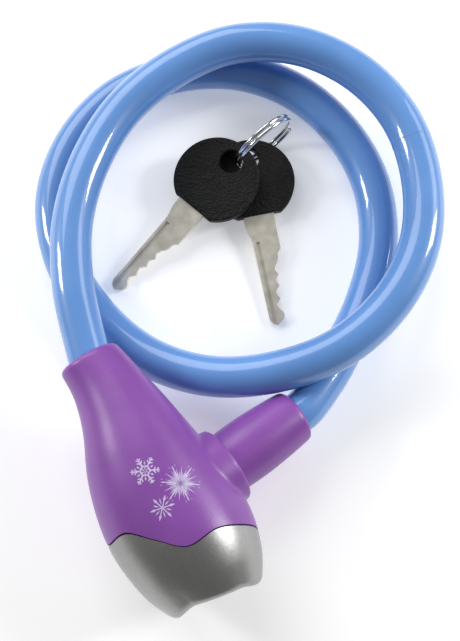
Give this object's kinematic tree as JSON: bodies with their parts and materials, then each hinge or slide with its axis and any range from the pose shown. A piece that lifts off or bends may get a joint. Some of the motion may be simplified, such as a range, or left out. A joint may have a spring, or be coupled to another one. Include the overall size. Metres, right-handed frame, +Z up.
{
  "type": "cable lock",
  "caption": "Coiled vinyl-covered steel cable with a moulded key lock on one end, a plug that locks into its side on the other, and keys on a split ring.",
  "frame": {"origin": "on the table, under the middle of the box around the lock body, plug and keys (cable left out)", "axes": "+Z up from the table, +Y from the key face of the lock towards the far side of the coil, +X towards the side that the plug leaves"},
  "size_m": [0.1222, 0.1761, 0.0371],
  "materials": {
    "violet_plastic": "satin moulded plastic",
    "silver_paint": "satin silver metallic paint",
    "blue_vinyl": "glossy translucent vinyl sheath",
    "zinc": "die-cast zinc",
    "steel": "plain steel",
    "nickel": "nickel-plated stamped brass",
    "chrome": "bright nickel-plated spring wire",
    "brass": "stamped brass",
    "rope_steel": "laid steel strands",
    "black_plastic": "grained matt plastic"
  },
  "bodies": {
    "lock_body": {"body_shell": "violet_plastic", "end_cap": "silver_paint", "core_housing": "zinc", "retaining_pin": "steel", "cable_ferrule": "steel", "cable_sheath": "blue_vinyl", "steel_rope": "rope_steel"},
    "rotor": {"cylinder_rotor": "zinc", "rotor_clip": "steel", "cam": "steel", "wafer_1": "brass", "wafer_2": "brass", "wafer_3": "brass", "wafer_4": "brass", "wafer_5": "brass", "wafer_spring_1": "steel", "wafer_spring_2": "steel", "wafer_spring_3": "steel", "wafer_spring_4": "steel", "wafer_spring_5": "steel"},
    "bolt": {"locking_bolt": "steel"},
    "plug": {"locking_pin": "steel", "plug_sleeve": "violet_plastic"},
    "key_ring": {"split_ring": "chrome"},
    "key_1": {"key_1_head": "black_plastic", "key_1_blade": "nickel"},
    "key_2": {"key_2_head": "black_plastic", "key_2_blade": "nickel"}
  },
  "joints": [
    {"name": "key_turn", "type": "hinge", "parent": "lock_body", "child": "rotor", "pos_m": [0.00612, -0.05923, 0.019], "axis": [0.3987, -0.9171, 0], "range_deg": [0, 90]},
    {"name": "bolt_slide", "type": "slide", "parent": "lock_body", "child": "bolt", "axis": [0, 0, 1], "range_m": [0, 0.0037]},
    {"name": "plug_pull", "type": "slide", "parent": "lock_body", "child": "plug", "axis": [0.7916, 0.5858, -0.1737], "range_m": [0, 0.022], "deforming": ["cable_sheath", "steel_rope"]},
    {"name": "key_set_lift", "type": "slide", "parent": "lock_body", "child": "key_ring", "axis": [0, 0, 1], "range_m": [0, 0.1]},
    {"name": "key_1_swing", "type": "hinge", "parent": "key_ring", "child": "key_1", "pos_m": [0.01246, 0.06042, 0.0073], "axis": [0, 0, 1], "range_deg": [0, 30]},
    {"name": "key_2_swing", "type": "hinge", "parent": "key_ring", "child": "key_2", "pos_m": [0.01726, 0.06302, 0.0032], "axis": [0, 0, 1], "range_deg": [-20, 18]}
  ],
  "couplings": [
    {"joint": "bolt_slide", "follows": "key_turn", "m_per_rad": 0.0023428}
  ]
}
